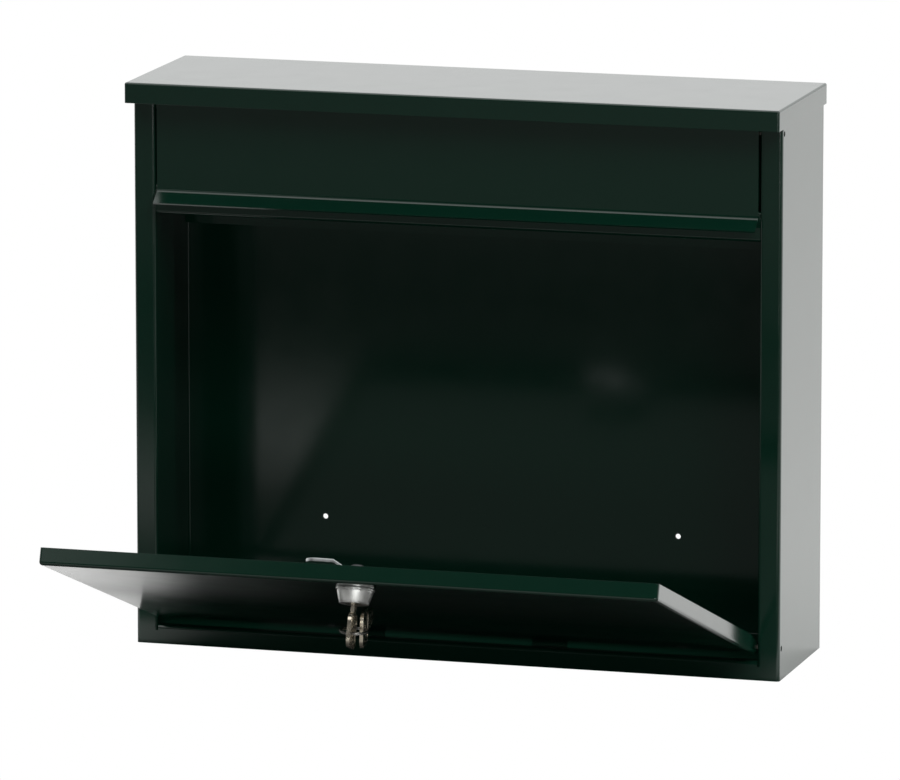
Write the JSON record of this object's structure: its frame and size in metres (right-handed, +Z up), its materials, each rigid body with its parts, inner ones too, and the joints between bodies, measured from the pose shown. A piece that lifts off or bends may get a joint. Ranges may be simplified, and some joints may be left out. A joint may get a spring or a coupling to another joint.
{
  "type": "wall mounted post box",
  "caption": "Sheet steel wall post box with an overhanging roof, a lift-up inlet flap, a bottom-hinged lockable door and a lock with keys.",
  "frame": {"origin": "centre of the four wall holes, on the back face", "axes": "+Z up, +Y towards the wall, +X to the right of someone facing the box"},
  "size_m": [0.3724, 0.3024, 0.318],
  "materials": {
    "green_paint": "gloss powder coat",
    "pin_steel": "plain",
    "lock_chrome": "polished",
    "zinc_steel": "zinc plated",
    "plug_brass": "nickel plated",
    "key_nickel": "nickel plated",
    "ring_steel": "nickel plated wire"
  },
  "bodies": {
    "box": {"body_wrap": "green_paint", "floor_pan": "green_paint", "roof": "green_paint", "inlet_rail": "green_paint", "flap_pin_left": "pin_steel", "flap_pin_right": "pin_steel", "door_pin_left": "pin_steel", "door_pin_right": "pin_steel"},
    "flap": {"inlet_flap": "green_paint"},
    "door": {"door": "green_paint", "lock_collar": "lock_chrome", "lock_body": "lock_chrome", "lock_nut": "zinc_steel"},
    "lock_core": {"lock_plug": "plug_brass", "cam": "zinc_steel", "cam_washer": "zinc_steel", "cam_screw": "zinc_steel"},
    "key_in_lock": {"key": "key_nickel"},
    "ring": {"key_ring": "ring_steel"},
    "second_key": {"spare_key": "key_nickel"}
  },
  "joints": [
    {"name": "flap_hinge", "type": "hinge", "parent": "box", "child": "flap", "pos_m": [0, -0.09, 0.1445], "axis": [-1, 0, 0], "range_deg": [0, 80]},
    {"name": "door_hinge", "type": "hinge", "parent": "box", "child": "door", "pos_m": [0, -0.0895, -0.1408], "axis": [1, 0, 0], "range_deg": [-71, 0]},
    {"name": "lock_turn", "type": "hinge", "parent": "door", "child": "lock_core", "pos_m": [0, -0.28291, -0.07896], "axis": [0, 0.3256, 0.9455], "range_deg": [-7, 83]},
    {"name": "key_slide", "type": "slide", "parent": "lock_core", "child": "key_in_lock", "axis": [0, -0.3256, -0.9455], "range_m": [0, 0.015]},
    {"name": "ring_swing", "type": "hinge", "parent": "key_in_lock", "child": "ring", "pos_m": [0, -0.29091, -0.10222], "axis": [-0.9925, -0.1152, 0.0397], "range_deg": [0, 110]},
    {"name": "second_key_swing", "type": "hinge", "parent": "ring", "child": "second_key", "pos_m": [0.00219, -0.27539, -0.10232], "axis": [-0.9904, -0.1325, 0.0396], "range_deg": [0, 60]}
  ]
}
